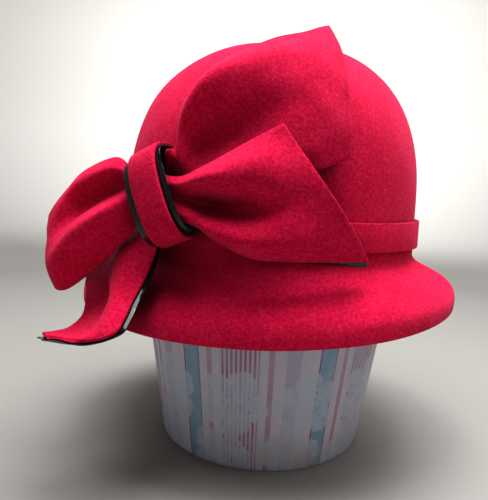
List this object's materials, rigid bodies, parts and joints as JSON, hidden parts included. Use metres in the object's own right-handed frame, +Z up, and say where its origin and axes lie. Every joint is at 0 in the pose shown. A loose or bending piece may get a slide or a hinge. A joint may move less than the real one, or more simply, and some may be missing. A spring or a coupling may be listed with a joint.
{
  "type": "cloche hat on a round box",
  "caption": "Bell-crowned felt hat with a short sloping brim, a narrow band and a large looped bow, standing on a tapered round box.",
  "frame": {"origin": "centre of the round box's base, on the surface it stands on", "axes": "+Z up through the box and the crown; +X along the crown's long axis, to the right as seen from the bow; the bow faces -Y"},
  "size_m": [0.253, 0.2387, 0.2625],
  "materials": {
    "wool_felt": "matt brushed wool felt",
    "patent_leather": "high gloss patent",
    "printed_board": "coated paper over board"
  },
  "bodies": {
    "root": {"round_box": "printed_board", "felt_hood": "wool_felt", "band": "wool_felt", "tail_ribbon_felt": "wool_felt", "tail_ribbon_lining": "patent_leather", "loop_ribbon_felt": "wool_felt", "loop_ribbon_lining": "patent_leather", "knot_felt": "wool_felt", "knot_lining": "patent_leather"}
  },
  "joints": []
}
